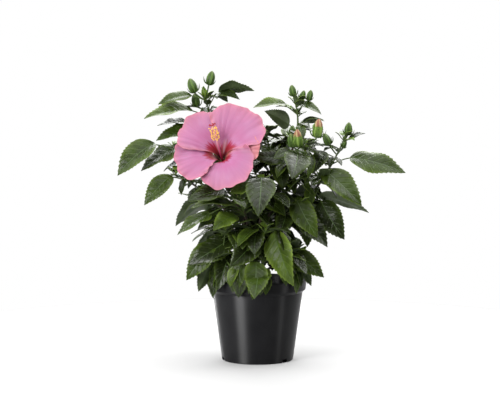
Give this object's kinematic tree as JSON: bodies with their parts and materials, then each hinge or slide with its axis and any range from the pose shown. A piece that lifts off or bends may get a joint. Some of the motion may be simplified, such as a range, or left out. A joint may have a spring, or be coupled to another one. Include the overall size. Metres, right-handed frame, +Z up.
{
  "type": "potted hibiscus shrub",
  "caption": "Young pink-flowering hibiscus shrub in a round black nursery pot, with open branching shoots, toothed glossy leaves, upright buds and a large open bloom.",
  "frame": {"origin": "centre of the pot's flat underside, on the surface the pot stands on", "axes": "+Z up along the pot's axis, the bloom faces -Y, +X to the right seen from the front"},
  "size_m": [0.3754, 0.2489, 0.3816],
  "materials": {
    "pot": "satin moulded black plastic",
    "peat": "damp fibrous peat",
    "bark": "thin grey-brown bark",
    "leaf": "glossy dark green leaf",
    "calyx": "soft pale green calyx",
    "petal": "soft pink petal",
    "anthers": "powdery yellow anthers"
  },
  "bodies": {
    "root": {"pot": "pot", "soil": "peat", "trunk": "bark", "bough_top_left": "bark", "bough_right_top": "bark", "bough_right_far": "bark", "bough_back_right": "bark", "bough_left_high": "bark", "bough_left_low": "bark", "bough_back_left": "bark", "bough_left_front": "bark", "bough_centre_front": "bark", "bough_centre_top": "bark", "bough_right_centre": "bark", "bough_right_mid": "bark", "bough_right_low": "bark", "bough_front_left": "bark", "bough_front_mid": "bark", "bough_skirt_left": "bark", "bough_skirt_front": "bark", "bough_skirt_right": "bark", "bough_back_low_left": "bark", "bough_back_low": "bark", "bough_back_low_right": "bark", "bloom_stalk": "calyx", "petal_right": "petal", "petal_upper_right": "petal", "petal_upper_left": "petal", "petal_lower_left": "petal", "petal_bottom": "petal", "staminal_column": "anthers", "foliage_top_left": "leaf", "foliage_right_top": "leaf", "foliage_right_far": "leaf", "foliage_back_right": "leaf", "foliage_left_high": "leaf", "foliage_left_low": "leaf", "foliage_back_left": "leaf", "foliage_left_front": "leaf", "foliage_centre_front": "leaf", "foliage_centre_top": "leaf", "foliage_right_centre": "leaf", "foliage_right_mid": "leaf", "foliage_right_low": "leaf", "foliage_front_left": "leaf", "foliage_front_mid": "leaf", "foliage_skirt_left": "leaf", "foliage_skirt_front": "leaf", "foliage_skirt_right": "leaf", "foliage_back_low_left": "leaf", "foliage_back_low": "leaf", "foliage_back_low_right": "leaf"}
  },
  "joints": []
}
